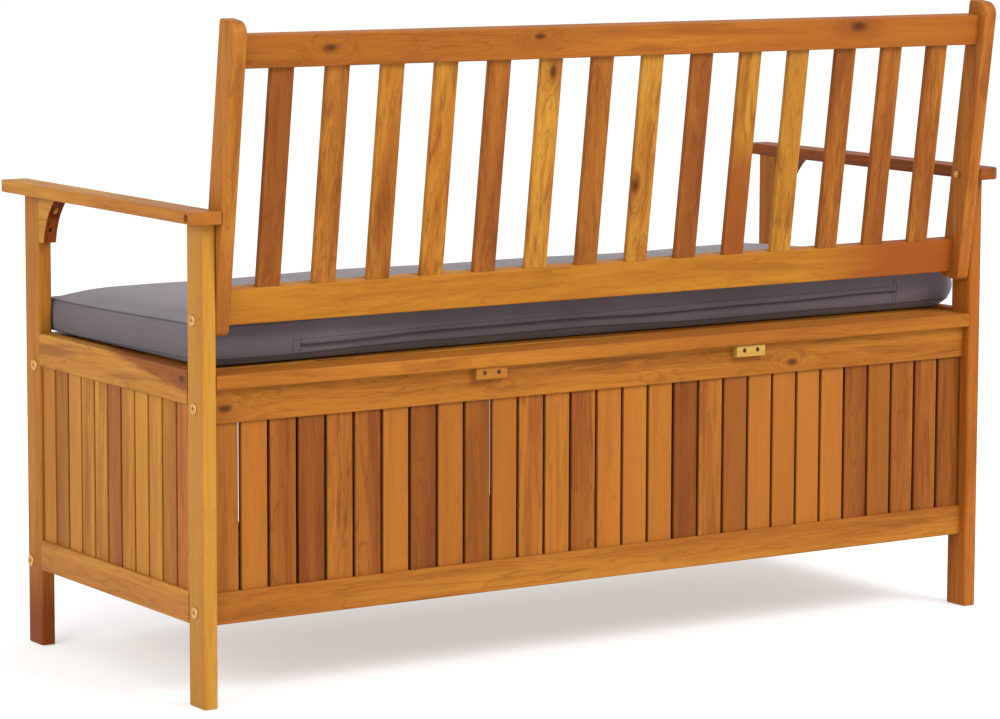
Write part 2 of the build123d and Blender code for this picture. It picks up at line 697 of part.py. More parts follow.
with BuildPart() as arm_nuts:
    for sign in ends.values():
        inside = end_plane(sign, post_inner, *arm_bolt)
        with BuildSketch(inside):
            RegularPolygon(arm_nut[0], 6)
        extrude(amount=-arm_nut[1])
        round_bar(inside, arm_bolt_radius, -arm_nut[1] - 1, mode=Mode.SUBTRACT)
arm_nuts.part.label = "arm_nuts"
export_step(arm_nuts.part, "parts/arm_nuts.step")

# ---- cushion -------------------------------------------------------------------------------------
with BuildPart() as cushion:
    with BuildSketch(Plane.XY.offset(cushion_z[0])):
        with Locations((0, sum(cushion_y) / 2)):
            RectangleRounded(2 * cushion_half_width, cushion_y[1] - cushion_y[0], cushion_corner)
    extrude(amount=cushion_z[1] - cushion_z[0])
    fillet(cushion.faces().filter_by(Axis.Z).edges(), cushion_edge)
cushion.part.label = "cushion"
export_step(cushion.part, "parts/cushion.step")
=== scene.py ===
"""Looks of the garden storage bench: oiled hardwood, plated bolts and a boxed, zipped seat cushion."""

import math

import bmesh
import bpy
from mathutils import Matrix, Vector, noise


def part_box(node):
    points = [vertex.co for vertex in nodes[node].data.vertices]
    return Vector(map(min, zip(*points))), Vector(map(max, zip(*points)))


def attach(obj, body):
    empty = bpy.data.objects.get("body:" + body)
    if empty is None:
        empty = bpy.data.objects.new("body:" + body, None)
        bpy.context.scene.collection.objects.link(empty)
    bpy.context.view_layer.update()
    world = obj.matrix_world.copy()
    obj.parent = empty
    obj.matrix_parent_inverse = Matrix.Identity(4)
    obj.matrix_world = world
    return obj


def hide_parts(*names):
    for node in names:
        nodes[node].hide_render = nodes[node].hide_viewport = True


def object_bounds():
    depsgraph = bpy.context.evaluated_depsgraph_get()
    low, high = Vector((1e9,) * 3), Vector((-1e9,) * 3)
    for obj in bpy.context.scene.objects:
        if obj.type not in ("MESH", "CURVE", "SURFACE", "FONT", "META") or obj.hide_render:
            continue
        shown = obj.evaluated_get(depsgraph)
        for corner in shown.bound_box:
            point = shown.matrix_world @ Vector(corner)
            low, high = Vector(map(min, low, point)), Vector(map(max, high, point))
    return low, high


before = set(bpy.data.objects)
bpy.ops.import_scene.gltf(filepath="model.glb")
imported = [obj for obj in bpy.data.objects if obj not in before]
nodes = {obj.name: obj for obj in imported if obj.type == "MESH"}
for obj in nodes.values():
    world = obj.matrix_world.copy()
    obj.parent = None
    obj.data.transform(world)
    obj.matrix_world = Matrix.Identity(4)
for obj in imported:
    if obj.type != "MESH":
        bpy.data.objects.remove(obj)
cad_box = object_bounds()


# ---- small helpers for node materials ------------------------------------------------------------------------
class Tree:
    """A material's node tree with short ways to add linked nodes."""

    def __init__(self, name):
        self.material = bpy.data.materials.new(name)
        self.material.use_nodes = True
        self.tree = self.material.node_tree
        self.tree.nodes.clear()
        self.out = self.add("ShaderNodeOutputMaterial")
        self.shader = self.add("ShaderNodeBsdfPrincipled")
        self.tree.links.new(self.shader.outputs["BSDF"], self.out.inputs["Surface"])

    def add(self, kind, **settings):
        node = self.tree.nodes.new(kind)
        for key, value in settings.items():
            setattr(node, key, value)
        return node

    def put(self, socket, value):
        if isinstance(value, bpy.types.NodeSocket):
            self.tree.links.new(value, socket)
        elif value is not None:
            socket.default_value = value

    def set(self, **values):
        for key, value in values.items():
            self.put(self.shader.inputs[key.replace("_", " ")], value)

    def math(self, operation, a, b=None):
        node = self.add("ShaderNodeMath", operation=operation)
        for socket, value in zip(node.inputs, (a, b)):
            self.put(socket, value)
        return node.outputs[0]

    def vector(self, operation, a, b=None):
        node = self.add("ShaderNodeVectorMath", operation=operation)
        self.put(node.inputs[0], a)
        self.put(node.inputs[1], b)
        return node.outputs["Value" if operation in ("LENGTH", "DOT_PRODUCT") else 0]

    def noise(self, vector, scale, detail=3.0, rough=0.5, distortion=0.0):
        node = self.add("ShaderNodeTexNoise")
        self.put(node.inputs["Vector"], vector)
        self.put(node.inputs["Scale"], scale)
        self.put(node.inputs["Detail"], detail)
        self.put(node.inputs["Roughness"], rough)
        self.put(node.inputs["Distortion"], distortion)
        return node.outputs["Fac"]

    def ramp(self, factor, stops):
        node = self.add("ShaderNodeValToRGB")
        while len(node.color_ramp.elements) < len(stops):
            node.color_ramp.elements.new(0.5)
        for element, (place, colour) in zip(node.color_ramp.elements, stops):
            element.position = place
            element.color = (*colour, 1.0)
        self.put(node.inputs["Fac"], factor)
        return node.outputs["Color"]

    def span(self, value, low, high, to_low=0.0, to_high=1.0):
        node = self.add("ShaderNodeMapRange")
        for socket, item in zip(node.inputs[:5], (value, low, high, to_low, to_high)):
            self.put(socket, item)
        return node.outputs[0]

    def mix(self, factor, a, b):
        node = self.add("ShaderNodeMix", data_type="RGBA")
        self.put(node.inputs["Factor"], factor)
        for socket, value in zip((node.inputs[6], node.inputs[7]), (a, b)):  # the two colour sockets
            self.put(socket, (*value, 1.0) if isinstance(value, tuple) else value)
        return node.outputs[2]

    def bump(self, height, strength, distance):
        node = self.add("ShaderNodeBump")
        self.put(node.inputs["Height"], height)
        self.put(node.inputs["Strength"], strength)
        self.put(node.inputs["Distance"], distance)
        self.put(self.shader.inputs["Normal"], node.outputs["Normal"])


def srgb(code):
    """Linear colour of a #rrggbb code."""
    parts = [int(code[i : i + 2], 16) / 255 for i in (1, 3, 5)]
    return tuple(p / 12.92 if p <= 0.04045 else ((p + 0.055) / 1.055) ** 2.4 for p in parts)


# ---- wood ----------------------------------------------------------------------------------------------------
GRAIN = {"X": (1, 2, 0), "Y": (0, 2, 1), "Z": (0, 1, 2)}  # which axes become across, across, along
UP = (0, 0, 1)
# tones are given as seen in bright studio light; this is the share of each channel that is the wood's own
STUDIO = (0.60, 0.575, 0.36)
ALONG = 0.06  # the grain's noise is stretched this much along the timber
BROAD, RINGS, FINE, PORES, VEINS, WANDER = 24.0, 70.0, 300.0, 900.0, 42.0, 11.0  # noise scales
APART = (3.1, 2.3, 1.7)  # how far apart in the noise different boards lie
DRIFT = 0.05  # how far the grain wanders
KNOT_BEND = 0.03  # how far a knot pushes the grain
VEIN_WIDTH = 0.022
VEIN_SHARE, FINE_SHARE, PORE_SHARE = 0.7, 0.30, 0.25  # how strongly each darkens the wood
WOOD_SPECULAR = 0.10
KNOT_REACH = 2.4  # how far round a knot the grain bends, in knot radii
KNOT_CORE, KNOT_RIM = 0.35, 1.1  # where the dark of a knot begins to fade and where it ends, in knot radii
KNOT_SQUASH = 0.5  # a knot is twice as long along the grain as across it
BELL = 2.718  # base of the bell curve of the bend round a knot
FIRST_BOARD = 0.37  # offset that keeps a board's number off the whole values
RAGGED = 1.6  # how ragged the edge of a patch of heartwood or of painted shade is, in widths of its edge


def own_colour(tone):
    """The wood's own linear colour for a tone given as seen."""
    return tuple(c * s for c, s in zip(srgb(tone), STUDIO))


def wood(name, along, light, dark, streak, boards=None, seed=0.0, vary=0.0, knots=(), bands=0.5, patches=()):
    """Oiled hardwood with grain along one axis.

    boards: (axis, pitch, offset) gives each board of a panel its own tone. knots: (centre, radius) each.
    patches: zones of another tone, (direction, from, to, tone, share) each; some are heartwood and some are
    painted shade.
    """
    light, dark, streak = own_colour(light), own_colour(dark), own_colour(streak)
    t = Tree(name)
    where = t.add("ShaderNodeTexCoord").outputs["Object"]
    parts = t.add("ShaderNodeSeparateXYZ")
    t.put(parts.inputs[0], where)
    across_a, across_b, length = (parts.outputs[i] for i in GRAIN[along])
    if boards:
        axis, pitch, offset = boards
        number = t.math("FLOOR", t.math("DIVIDE", t.math("SUBTRACT", parts.outputs[axis], offset), pitch))
        number = t.math("ADD", number, seed + FIRST_BOARD)
    else:
        number = seed + FIRST_BOARD
    shuffle = t.add("ShaderNodeTexWhiteNoise", noise_dimensions="1D")
    t.put(shuffle.inputs["W"], number)
    own = t.add("ShaderNodeSeparateColor")
    t.put(own.inputs[0], shuffle.outputs["Color"])
    tone, shift, warmth = own.outputs[0], own.outputs[1], own.outputs[2]

    # each knot pushes the grain aside and darkens its middle
    knot_mask, bend = None, None
    for centre, radius in knots:
        away = t.vector("SUBTRACT", where, centre)
        squash = tuple(KNOT_SQUASH if "XYZ"[i] == along else 1.0 for i in range(3))
        gap = t.vector("LENGTH", t.vector("MULTIPLY", away, squash))
        squared = t.math("POWER", t.math("DIVIDE", gap, radius * KNOT_REACH), 2.0)
        near = t.math("POWER", BELL, t.math("MULTIPLY", squared, -1.0))
        core = t.span(gap, radius * KNOT_CORE, radius * KNOT_RIM, 1.0, 0.0)
        bend = near if bend is None else t.math("MAXIMUM", bend, near)
        knot_mask = core if knot_mask is None else t.math("MAXIMUM", knot_mask, core)

    joined = t.add("ShaderNodeCombineXYZ")
    t.put(joined.inputs[0], t.math("ADD", across_a, t.math("MULTIPLY", shift, APART[0])))
    t.put(joined.inputs[1], t.math("ADD", across_b, t.math("MULTIPLY", tone, APART[1])))
    stretched = t.math("MULTIPLY", length, ALONG)
    t.put(joined.inputs[2], t.math("ADD", stretched, t.math("MULTIPLY", warmth, APART[2])))
    base = joined.outputs[0]
    drift = t.math("MULTIPLY", t.math("SUBTRACT", t.noise(base, WANDER, 2.0), 0.5), DRIFT)
    if bend is not None:
        drift = t.math("ADD", drift, t.math("MULTIPLY", bend, KNOT_BEND))
    push = t.add("ShaderNodeCombineXYZ")
    t.put(push.inputs[0], drift)
    t.put(push.inputs[1], drift)
    warped = t.vector("ADD", base, push.outputs[0])

    broad = t.noise(warped, BROAD, 3.0, 0.55)
    rings = t.noise(warped, RINGS, 4.0, 0.62, 0.5)
    fine = t.noise(warped, FINE, 3.0, 0.6)
    pore = t.noise(t.vector("MULTIPLY", warped, (1.0, 1.0, 2.2)), PORES, 2.0, 0.6)

    middle_tone = tuple((a + b) / 2 for a, b in zip(dark, light))
    body = t.ramp(t.span(broad, 0.40, 0.62), [(0.0, dark), (0.5, middle_tone), (1.0, light)])
    body = t.mix(t.math("MULTIPLY", t.span(rings, 0.50, 0.64), bands), body, streak)
    veins = t.noise(t.vector("MULTIPLY", warped, (1.0, 1.0, 1.6)), VEINS, 2.0, 0.5, 1.2)
    vein_lines = t.span(t.math("ABSOLUTE", t.math("SUBTRACT", veins, 0.5)), 0.0, VEIN_WIDTH, 1.0, 0.0)
    body = t.mix(t.math("MULTIPLY", vein_lines, bands * VEIN_SHARE), body, tuple(c * 0.75 for c in streak))
    body = t.mix(t.math("MULTIPLY", t.span(fine, 0.46, 0.70), FINE_SHARE), body, streak)
    body = t.mix(t.math("MULTIPLY", t.span(pore, 0.56, 0.76), PORE_SHARE), body, tuple(c * 0.4 for c in streak))
    if vary:
        body = t.mix(t.span(tone, 0.25, 0.95, 0.0, vary), body, streak)
        body = t.mix(t.span(warmth, 0.60, 1.0, 0.0, vary), body, tuple(min(1.0, c * 1.12) for c in light))
    for direction, start_at, end_at, colour, share in patches:
        reach = t.vector("DOT_PRODUCT", where, direction)
        spread = abs(end_at - start_at) * RAGGED
        ragged = t.math("ADD", reach, t.math("MULTIPLY", t.math("SUBTRACT", rings, 0.5), spread))
        body = t.mix(t.span(ragged, start_at, end_at, 0.0, share), body, own_colour(colour))
    if knot_mask is not None:
        body = t.mix(t.math("MULTIPLY", bend, 0.5), body, streak)
        body = t.mix(t.math("MULTIPLY", knot_mask, 0.8), body, tuple(c * 0.3 for c in streak))
    t.set(Base_Color=body)
    uneven = t.math("ADD", t.math("MULTIPLY", fine, 0.6), t.math("MULTIPLY", broad, 0.4))
    t.set(Roughness=t.span(uneven, 0.3, 0.7, 0.44, 0.58))
    t.set(Specular_IOR_Level=WOOD_SPECULAR)
    t.bump(t.math("ADD", t.math("MULTIPLY", fine, 0.6), pore), strength=0.22, distance=0.0006)
    return t.material


def paint(material, *names):
    """Gives CAD nodes a material in every slot."""
    for name in names:
        data = nodes[name].data
        data.materials.clear()
        data.materials.append(material)
        for polygon in data.polygons:
            polygon.material_index = 0


# the timber, piece by piece: light tone, dark tone and streak
paint(
    wood(
        "leg_rear_right_wood", "Z", "#E2AC54", "#D29848", "#BC7C30", seed=3.0, bands=0.4,
        # the patch is painted shade: the leg's outer face, towards +X, is darkened
        patches=(((1, 0, 0), 0.6828, 0.6848, "#B8783A", 0.6),),
    ),
    "rear_leg_right",
)
paint(
    wood("leg_wood", "Z", "#C4742E", "#AE6226", "#8A461C", seed=5.0, bands=0.4),
    "rear_leg_left", "front_leg_left",
)
paint(
    wood(
        "leg_front_wood", "Z", "#CC8A40", "#BC7636", "#9A5726", seed=8.0, bands=0.4,
        patches=((UP, 0.16, 0.05, "#843A12", 0.85),),
    ),
    "front_leg_right",
)
paint(
    wood(
        "arm_wood", "Y", "#D69A4A", "#C68238", "#A2602A", seed=11.0, bands=0.4,
        patches=(((0, 1, 0), 0.20, 0.29, "#B0682C", 0.7),),
    ),
    "arm_right", "arm_bracket_right",
)
paint(
    wood("arm_far_wood", "Y", "#A4582A", "#8E4620", "#6E3214", seed=12.0, bands=0.45),
    "arm_left", "arm_bracket_left",
)
paint(
    wood(
        "post_right_wood", "Z", "#C6803C", "#B26C2E", "#8A461C", seed=14.0, bands=0.45,
        patches=((UP, 0.66, 0.56, "#9A5424", 0.6),),
    ),
    "back_post_right",
)
paint(wood("post_left_wood", "Z", "#C67C36", "#B2682C", "#82421C", seed=15.0, bands=0.45), "back_post_left")
paint(
    wood(
        "top_rail_wood", "X", "#CC8030", "#B26A2A", "#8A461C", seed=17.0, bands=0.5,
        knots=(((0.504, 0.309, 0.905), 0.007), ((-0.408, 0.310, 0.913), 0.009), ((0.162, 0.309, 0.912), 0.006)),
        patches=(((1, 0, 0), 0.0, -0.30, "#AC6228", 0.7),),
    ),
    "back_top_rail",
)
paint(
    wood(
        "low_rail_wood", "X", "#D28E32", "#C07C2A", "#9A5A20", seed=19.0, bands=0.4,
        patches=(((1, 0, 0), -0.38, -0.50, "#A4521E", 0.9),),
    ),
    "back_low_rail",
)
paint(
    wood(
        "rear_rail_wood", "X", "#CE8636", "#B6702C", "#8A461C", seed=23.0, bands=0.5,
        knots=(((0.643, 0.2585, 0.413), 0.007), ((-0.330, 0.2585, 0.408), 0.006)),
    ),
    "rear_top_rail", "front_top_rail",
)
paint(
    wood("rear_low_rail_wood", "X", "#C88438", "#B46C2C", "#92501F", seed=27.0, bands=0.5),
    "rear_bottom_rail", "front_bottom_rail",
)
paint(wood("seat_board_wood", "X", "#C88034", "#B46C2A", "#8E4C1C", seed=29.0, bands=0.4), "rear_seat_board")
paint(
    wood(
        "side_rail_wood", "Y", "#DC9E50", "#CC8A42", "#8C4A22", seed=31.0, bands=0.6,
        # the patch is painted shadow: the top of the side rails is darkened in a band that widens towards the
        # rear
        knots=(((0.685, 0.213, 0.452), 0.006),), patches=(((0, 0.142, 1), 0.459, 0.470, "#8E4820", 0.8),),
    ),
    "side_top_rail_right", "side_top_rail_left",
)
paint(
    wood("side_low_rail_wood", "Y", "#DA9A4C", "#C88442", "#945024", seed=33.0, bands=0.5),
    "side_bottom_rail_right", "side_bottom_rail_left",
)

# panels of boards: the tone changes from board to board, at the middle of each gap
HALF_GAP = 0.0025
X_AXIS, Y_AXIS = 0, 1
REAR_BOARDS, END_BOARDS, FLOOR_BOARDS, LID_BOARDS = 29, 11, 4, 5
panel_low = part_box("rear_panel_boards")[0].x - HALF_GAP
panel_pitch = (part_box("rear_panel_boards")[1].x + HALF_GAP - panel_low) / REAR_BOARDS
paint(
    wood(
        "rear_panel_wood", "Z", "#C27A34", "#A25C2A", "#7A3A18",
        boards=(X_AXIS, panel_pitch, panel_low), seed=40.0, vary=0.7, bands=0.6,
    ),
    "rear_panel_boards", "front_panel_boards",
)
side_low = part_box("side_panel_boards_right")[0].y - HALF_GAP
side_pitch = (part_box("side_panel_boards_right")[1].y + HALF_GAP - side_low) / END_BOARDS
paint(
    wood(
        "side_panel_wood", "Z", "#D89A48", "#BE7436", "#8A4620",
        boards=(Y_AXIS, side_pitch, side_low), seed=60.0, vary=0.55, bands=0.5,
    ),
    "side_panel_boards_right", "side_panel_boards_left",
)
floor_low, floor_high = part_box("floor_boards")
floor_pitch = (floor_high.y - floor_low.y) / FLOOR_BOARDS
paint(
    wood(
        "floor_wood", "X", "#CFA05C", "#B07840", "#905426",
        boards=(Y_AXIS, floor_pitch, floor_low.y), seed=70.0, vary=0.4,
    ),
    "floor_boards",
)
lid_low, lid_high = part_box("lid_boards")
lid_pitch = (lid_high.y - lid_low.y + 2 * HALF_GAP) / LID_BOARDS
paint(
    wood(
        "lid_wood", "X", "#CC8A3C", "#B6702E", "#8E4C20",
        boards=(Y_AXIS, lid_pitch, lid_low.y - HALF_GAP), seed=80.0, vary=0.4,
    ),
    "lid_boards",
)
paint(
    wood("inner_wood", "X", "#D8B070", "#C29250", "#A07038", seed=90.0, bands=0.3),
    "floor_bearers", "lid_battens", "dowels",
)

# each back slat's light and dark tone, the knots in two of them and the heartwood at the foot of one
SLAT_TONES = (
    ("#BC7630", "#9C5826"), ("#C6803A", "#A66428"), ("#C88438", "#A86428"), ("#D49440", "#C0782E"),
    ("#B87032", "#9C5828"), ("#DCA048", "#C6823A"), ("#BC7432", "#A06028"), ("#D89C44", "#C07C34"),
    ("#B46C30", "#985426"), ("#D0923C", "#B06A2E"), ("#DCA246", "#C48636"), ("#BC7632", "#9C5826"),
    ("#B87030", "#9C5626"), ("#C07A34", "#9A5424"),
)
SLAT_KNOTS = {6: (0.130, 0.295, 0.860), 8: (-0.030, 0.271, 0.689)}
SLAT_KNOT_RADIUS = 0.006
RED_SLAT = 10
for number, (light, dark) in enumerate(SLAT_TONES, start=1):
    slat_wood = wood(
        f"slat_wood_{number:02d}", "Z", light, dark, "#7E3E18", seed=100.0 + number * 1.7, bands=0.55,
        knots=((SLAT_KNOTS[number], SLAT_KNOT_RADIUS),) if number in SLAT_KNOTS else (),
        patches=((UP, 0.76, 0.70, "#9A4E22", 0.8),) if number == RED_SLAT else (),
    )
    paint(slat_wood, f"back_slat_{number:02d}")

paint(
    wood(
        "cleat_wood", "X", "#DDB878", "#CFA05A", "#B07A3C", seed=150.0, bands=0.2,
        patches=(((1, 0, 0), 0.0, 0.05, "#B8702C", 0.9),),
    ),
    "seat_board_cleats",
)

# the brackets' cut rear faces, which look back and down, show darker end grain
FACES_BACK, FACES_DOWN = 0.2, -0.02
end_grain = wood("bracket_end_wood", "Z", "#A45424", "#8A3E18", "#5E2408", seed=160.0, bands=0.7)
for name in ("arm_bracket_left", "arm_bracket_right"):
    data = nodes[name].data
    data.materials.append(end_grain)
    for polygon in data.polygons:
        if polygon.normal.y > FACES_BACK and polygon.normal.z < FACES_DOWN:
            polygon.material_index = 1


# ---- metal ---------------------------------------------------------------------------------------------------
CLOUDS, SCRATCHES = 260.0, 900.0  # noise scales


def metal(name, colour, shade, rough):
    """Plated or bare metal, slightly clouded and scratched."""
    t = Tree(name)
    where = t.add("ShaderNodeTexCoord").outputs["Object"]
    cloud = t.noise(where, CLOUDS, 3.0)
    scratch = t.noise(t.vector("MULTIPLY", where, (1.0, 6.0, 1.0)), SCRATCHES, 2.0)
    t.set(Base_Color=t.ramp(cloud, [(0.3, shade), (0.7, colour)]), Metallic=1.0)
    uneven = t.math("ADD", t.math("MULTIPLY", cloud, 0.5), t.math("MULTIPLY", scratch, 0.5))
    t.set(Roughness=t.span(uneven, 0.3, 0.7, rough - 0.08, rough + 0.1))
    t.bump(scratch, strength=0.1, distance=0.0002)
    return t.material


paint(
    metal("bolt_plating", srgb("#DDB070"), srgb("#B98648"), 0.36),
    "frame_bolts", "arm_bolts", "arm_nuts", "barrel_nuts",
)
paint(
    metal("screw_steel", srgb("#6E5238"), srgb("#4A3320"), 0.55),
    "bracket_screws", "cleat_screws", "batten_screws",
)
paint(
    metal("hinge_brass", srgb("#D9B465"), srgb("#BC9447"), 0.34),
    "hinge_leaves_seat", "hinge_leaves_lid", "hinge_pins", "hinge_screws_seat", "hinge_screws_lid",
)


# ---- cushion -------------------------------------------------------------------------------------------------
def smooth(value, low, high):
    """0 below low, 1 above high and an S curve between."""
    s = min(max((value - low) / (high - low), 0.0), 1.0)
    return s * s * (3 - 2 * s)


cushion_low, cushion_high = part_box("cushion")
SEAT = cushion_low.z  # underside of the cushion
BOXING = 0.047  # height of the band between the two seams
CORNER = 0.015  # radius of the outline's corners
CELLS = (150, 54)  # faces of the top along X and along Y
ROWS = 12  # rows of faces on the boxing
RIGHT_EDGE = 0.657  # sewn edge at the right end
LEFT_EDGE = 0.659  # sewn edge at the left end's front corner
LEFT_REACH = 0.029  # how much further out the rest of the left end goes
REAR_INSET = 0.022  # sewn rear edge, in from the cushion's space
FRONT_INSET = 0.003
ROLLED_UNDER = 0.018  # width over which the underside curves up to its seam
CLEAR = 0.0008  # gap that keeps the underside off the seat
LIFT = 0.0060  # how far the lower seam stands off the seat at the front, and how much more at the rear
HIGHER_REAR = 0.002  # how much taller the boxing is at the rear


def left_edge(y):
    """The left end reaches further out behind its front corner, which stays inside the leg."""
    return LEFT_EDGE + LEFT_REACH * smooth(y, -0.21, 0.05)


def lift(x, y):
    """How far the sewn edge stands off the seat: more at the rear, least at the front, in gentle waves."""
    rear = smooth(y, -0.25, 0.20)
    wave = 0.0012 * math.sin(x * 7.0 + 0.6) + 0.0008 * math.sin(x * 17.0 + y * 9.0)
    return LIFT + LIFT * rear + wave


def seam_height(x, y):
    """Height of the top seam."""
    return SEAT + lift(x, y) + BOXING + HIGHER_REAR * smooth(y, -0.25, 0.20)


def rear_edge(x):
    """The rear edge lies a little further back at the right end."""
    return cushion_high.y - REAR_INSET + 0.014 * smooth(x, 0.15, 0.6)


def outline_point(a, b):
    """Point of the cushion's rounded outline for a, b from -1 to 1."""
    front = cushion_low.y + FRONT_INSET
    back = rear_edge(a * RIGHT_EDGE)
    half_y = (back - front) / 2
    corner_a, corner_b = 1 - CORNER / RIGHT_EDGE, 1 - CORNER / half_y
    if abs(a) > corner_a and abs(b) > corner_b:
        p = (abs(a) - corner_a) / (1 - corner_a)
        q = (abs(b) - corner_b) / (1 - corner_b)
        p, q = p * math.sqrt(1 - q * q / 2), q * math.sqrt(1 - p * p / 2)
        a = math.copysign(corner_a + p * (1 - corner_a), a)
        b = math.copysign(corner_b + q * (1 - corner_b), b)
    y = (front + back) / 2 + b * half_y
    return a * (RIGHT_EDGE if a > 0 else left_edge(y)), y


def build_cushion():
    """Closed mesh of a top and a bottom panel joined by the boxing.

    Returns it with the boxing's rows of vertices, lowest first, and the vertices of the underside.
    """
    nx, ny = CELLS
    grid_a = [2 * i / nx - 1 for i in range(nx + 1)]
    grid_b = [2 * j / ny - 1 for j in range(ny + 1)]
    points, top, bottom = [], {}, {}
    for i, a in enumerate(grid_a):
        for j, b in enumerate(grid_b):
            x, y = outline_point(a, b)
            top[i, j] = len(points)
            points.append((x, y, seam_height(x, y)))
            bottom[i, j] = len(points)
            inset = min((1 - abs(a)) * RIGHT_EDGE, (1 - abs(b)) * (cushion_high.y - cushion_low.y) / 2)
            points.append((x, y, SEAT + CLEAR + lift(x, y) * (1 - smooth(inset, 0.0, ROLLED_UNDER))))
    ring = [(i, 0) for i in range(nx)] + [(nx, j) for j in range(ny)]
    ring += [(i, ny) for i in range(nx, 0, -1)] + [(0, j) for j in range(ny, 0, -1)]
    rows = [[bottom[k] for k in ring]]
    for r in range(1, ROWS):
        row = []
        for k in ring:
            x, y, z = points[top[k]]
            row.append(len(points))
            low = points[bottom[k]][2]
            points.append((x, y, low + (z - low) * r / ROWS))
        rows.append(row)
    rows.append([top[k] for k in ring])
    faces = []
    for i in range(nx):
        for j in range(ny):
            faces.append((top[i, j], top[i + 1, j], top[i + 1, j + 1], top[i, j + 1]))
            faces.append((bottom[i, j], bottom[i, j + 1], bottom[i + 1, j + 1], bottom[i + 1, j]))
    count = len(ring)
    for lower, upper in zip(rows, rows[1:]):
        for k in range(count):
            n = (k + 1) % count
            faces.append((lower[k], lower[n], upper[n], upper[k]))
    mesh = bpy.data.meshes.new("cushion_cover")
    mesh.from_pydata(points, [], faces)
    mesh.update()
    return mesh, rows, set(bottom.values())


def link(obj):
    """Puts an object in the scene."""
    bpy.context.scene.collection.objects.link(obj)
    return obj


def shade_smooth(mesh):
    for polygon in mesh.polygons:
        polygon.use_smooth = True


cover_mesh, boxing_rows, underside = build_cushion()
cover = link(bpy.data.objects.new("cushion_cover", cover_mesh))
start = [v.co.copy() for v in cover_mesh.vertices]
CLOTH_FRAMES = 20


def inflate():
    """Blows the cover up with cloth pressure for a few frames and returns where its points went."""
    group = cover.vertex_groups.new(name="resting")
    group.add(sorted(underside), 1.0, "REPLACE")
    cloth = cover.modifiers.new("Cloth", "CLOTH")
    s = cloth.settings
    s.quality = 6
    s.mass = 0.4
    s.tension_stiffness = s.compression_stiffness = 22
    s.shear_stiffness = 12
    s.bending_stiffness = 1.2
    s.use_pressure = True
    s.uniform_pressure_force = 4.0
    s.vertex_group_mass = "resting"
    s.effector_weights.gravity = 0.0
    cloth.collision_settings.use_collision = False
    scene = bpy.context.scene
    scene.frame_start, scene.frame_end = 1, CLOTH_FRAMES
    for number in range(1, CLOTH_FRAMES + 1):
        scene.frame_set(number)
    shape = cover.evaluated_get(bpy.context.evaluated_depsgraph_get())
    moved = [v.co.copy() for v in shape.data.vertices]
    cover.modifiers.remove(cloth)
    cover.vertex_groups.remove(group)
    scene.frame_set(1)
    return moved


swollen = inflate()

# the top keeps part of the cloth's moves and at least a set crown;
# the boxing stays where it was, and is shaped below
CROWN = 0.022  # most that the top may rise over its seam
SHOULDER = 0.035  # how quickly the top rises from its seam
BULGE = 0.007  # how far the boxing stands out half-way up
SIDEWAYS = 0.25  # share of the cloth's sideways moves that the top keeps
SETTLE = 0.002  # most that any point may sink
SEAT_GAP = 0.0004  # least height over the seat
on_boxing = {k for row in boxing_rows for k in row}
for vertex, before, after in zip(cover_mesh.vertices, start, swollen):
    move = after - before
    sewn = vertex.index in on_boxing
    flat = Vector((move.x, move.y, 0)) * (0.0 if sewn else SIDEWAYS)
    if flat.length > BULGE:
        flat *= BULGE / flat.length
    rise = 0.0 if sewn else move.z
    if rise > 0:
        rise = CROWN * (1 - math.exp(-rise / CROWN))
    if not sewn and before.z > SEAT + BOXING / 2:
        end_gap = max(0.0, min(RIGHT_EDGE - before.x, left_edge(before.y) + before.x))
        side_gap = max(0.0, min(before.y - cushion_low.y, rear_edge(before.x) - before.y))
        rise = max(rise, CROWN * (1 - math.exp(-end_gap / SHOULDER)) * (1 - math.exp(-side_gap / SHOULDER)))
    spot = before + flat + Vector((0, 0, max(rise, -SETTLE)))
    spot.z = max(spot.z, SEAT + SEAT_GAP)
    vertex.co = spot
cover_mesh.update()

# the boxing: a belly between seams that pull in, light puckers, and at the rear a flap over the zip
LEG_FACE = 0.6605  # just inside the legs' inner faces, which the front corners press against
LEG_REAR = -0.224  # just behind the front legs' rear faces
ZIP_ENDS = (-0.573, 0.498)
ZIP_LOW, ZIP_CLIMB = 0.0265, 0.0055  # the zip's height at its right end, and how much higher its left end is
ZIP_FADE = 0.01  # length over which the flap rises at each end
FACES_REAR = 0.9  # a boxing normal with a larger Y is on the rear face
PUCKER, SEAM_PULL = 0.0009, 0.0012
FLAP, UNDER_FLAP = 0.0030, 0.0016  # how far the flap stands out, and how far the boxing under it goes in
REAR_BELLY = 0.6  # share of the bulge on the rear face
count = len(boxing_rows[0])
vertices = cover_mesh.vertices


def outward(k):
    """Direction out of the boxing at the k-th place of its ring."""
    before, after = vertices[boxing_rows[-1][k - 1]].co, vertices[boxing_rows[-1][(k + 1) % count]].co
    along = after - before
    return Vector((along.y, -along.x, 0)).normalized()


normals = [outward(k) for k in range(count)]


def zip_height(x):
    """The zip's line runs a little higher at the left end and wanders slightly."""
    leftward = (ZIP_ENDS[1] - x) / (ZIP_ENDS[1] - ZIP_ENDS[0])
    wander = 0.0012 * math.sin(x * 9.0) + 0.0006 * math.sin(x * 23.0 + 1.0)
    return SEAT + ZIP_LOW + ZIP_CLIMB * leftward + wander


